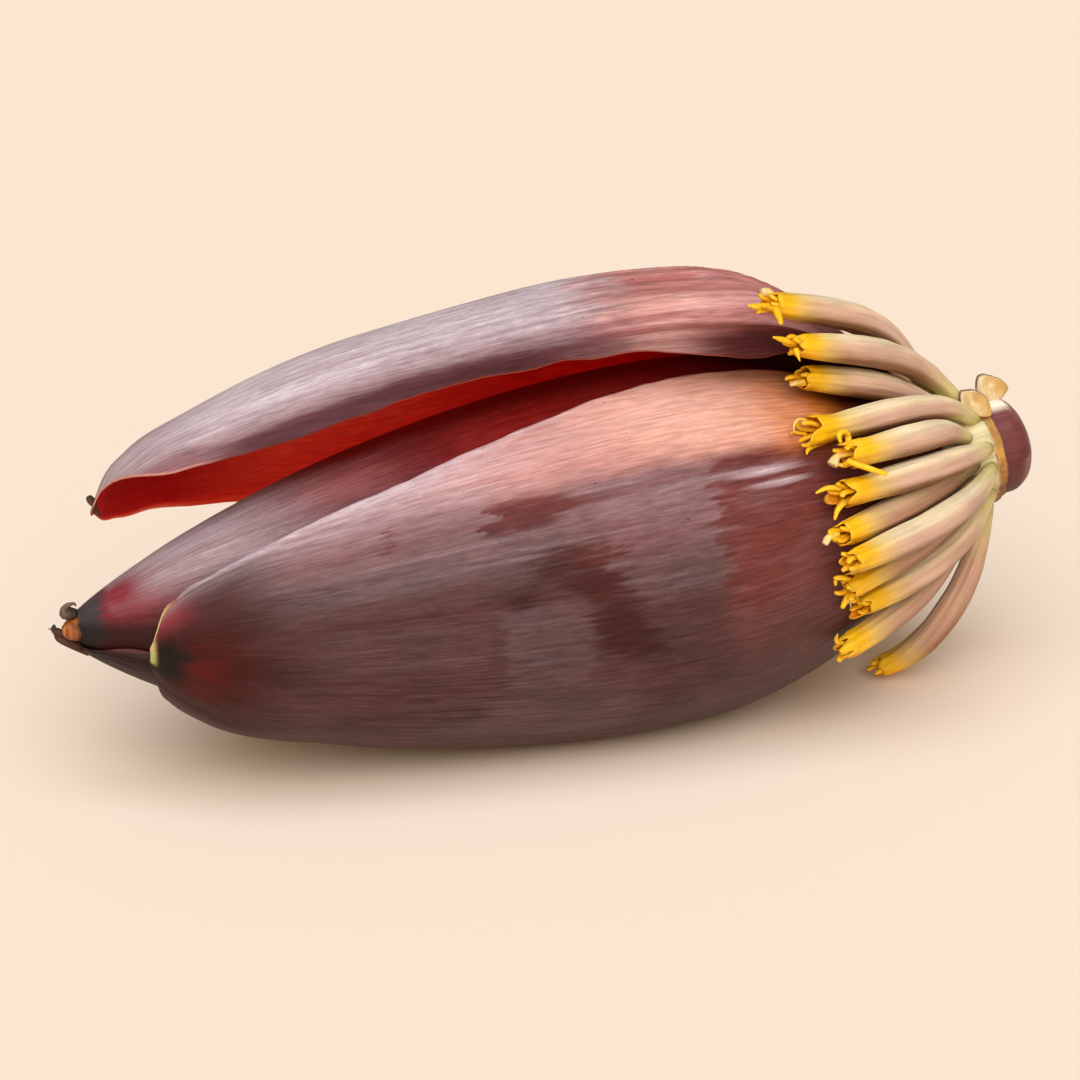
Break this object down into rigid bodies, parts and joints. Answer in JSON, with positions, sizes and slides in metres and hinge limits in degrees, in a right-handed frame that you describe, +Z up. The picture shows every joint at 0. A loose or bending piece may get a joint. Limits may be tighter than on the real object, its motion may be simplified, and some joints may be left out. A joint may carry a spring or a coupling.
{
  "type": "banana blossom",
  "caption": "Banana blossom lying on its side: a closed bud of wrapped bracts, one bract lifted off it, with a fan of slender flowers and a short cut stem at the end.",
  "frame": {"origin": "middle of the flat patch under the front bract on which the blossom rests", "axes": "+X along the blossom towards the stem end, +Y away from the front bract, +Z up"},
  "size_m": [0.2469, 0.1099, 0.11],
  "materials": {
    "bud_skin": "dull maroon leaf skin with a grey-lilac waxy bloom",
    "front_bract_skin": "maroon leaf skin with a patchy waxy bloom and fine lengthwise ribs",
    "under_bract_skin": "dark maroon leaf skin",
    "lifted_bract_skin": "lilac and pink leaf skin outside, bright red inside",
    "stem_skin": "smooth maroon stem, cream where the bracts were attached",
    "dried_edge": "golden-brown dried torn edge",
    "flower_skin": "cream flower tube with a yellow mouth"
  },
  "bodies": {
    "root": {"inner_bud": "bud_skin", "under_bract": "under_bract_skin", "front_bract": "front_bract_skin", "lifted_bract": "lifted_bract_skin", "peduncle": "stem_skin", "torn_collar": "dried_edge", "flower_01": "flower_skin", "flower_02": "flower_skin", "flower_03": "flower_skin", "flower_04": "flower_skin", "flower_05": "flower_skin", "flower_06": "flower_skin", "flower_07": "flower_skin", "flower_08": "flower_skin", "flower_09": "flower_skin", "flower_10": "flower_skin", "flower_11": "flower_skin", "flower_12": "flower_skin", "flower_13": "flower_skin", "flower_14": "flower_skin"}
  },
  "joints": []
}
